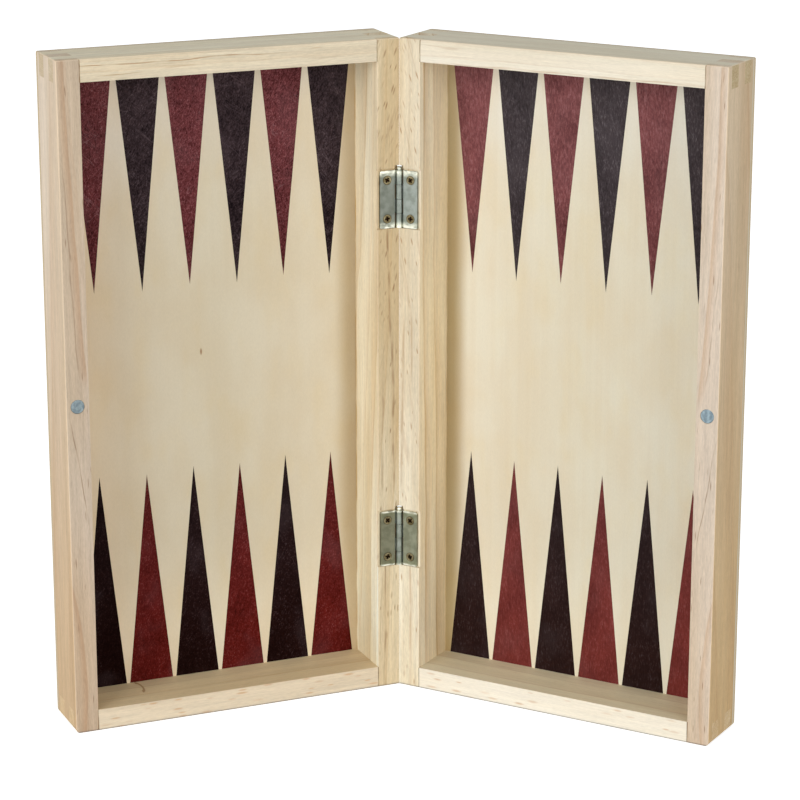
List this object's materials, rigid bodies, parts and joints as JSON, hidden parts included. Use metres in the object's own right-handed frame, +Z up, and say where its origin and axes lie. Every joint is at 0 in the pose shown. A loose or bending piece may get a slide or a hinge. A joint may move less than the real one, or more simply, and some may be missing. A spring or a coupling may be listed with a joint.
{
  "type": "folding game box",
  "caption": "Hinged wooden folding game box of equal trays, with backgammon points inside, a chequered board outside, butt hinges along one long side and disc magnets opposite.",
  "frame": {"origin": "centre of the standing box's outline on the surface that it stands on, at the pictured opening angle", "axes": "+Z up along the hinge axis, +X to the right across both trays, +Y towards the back of the trays, so that the viewer of the picture stands at -Y"},
  "size_m": [0.2938, 0.0914, 0.29],
  "materials": {
    "pine": "sanded bare pine with fine grain and small resin flecks",
    "plywood": "smooth pale plywood face",
    "red_stain": "burgundy wood stain, satin",
    "dark_stain": "near-black brown wood stain, satin",
    "hinge_steel": "dull plated steel with worn bright edges",
    "screw_brass": "dull yellow plating, dark in the recess",
    "magnet_nickel": "dull grey nickel plating"
  },
  "bodies": {
    "left_tray": {"left_outer_wall": "pine", "left_hinge_wall": "pine", "left_top_wall": "pine", "left_bottom_wall": "pine", "left_floor_panel": "plywood", "left_red_points": "red_stain", "left_dark_points": "dark_stain", "left_dark_squares": "dark_stain", "left_magnet": "magnet_nickel", "left_hinge_screws": "screw_brass", "upper_hinge_left_leaf": "hinge_steel", "upper_hinge_pin": "hinge_steel", "lower_hinge_left_leaf": "hinge_steel", "lower_hinge_pin": "hinge_steel"},
    "right_tray": {"right_outer_wall": "pine", "right_hinge_wall": "pine", "right_top_wall": "pine", "right_bottom_wall": "pine", "right_floor_panel": "plywood", "right_red_points": "red_stain", "right_dark_points": "dark_stain", "right_dark_squares": "dark_stain", "right_magnet": "magnet_nickel", "upper_hinge_right_leaf": "hinge_steel", "lower_hinge_right_leaf": "hinge_steel", "right_hinge_screws": "screw_brass"}
  },
  "joints": [
    {"name": "fold", "type": "hinge", "parent": "left_tray", "child": "right_tray", "pos_m": [0, 0.0206, 0.145], "axis": [0, 0, 1], "range_deg": [-127.5, 52.5]}
  ]
}
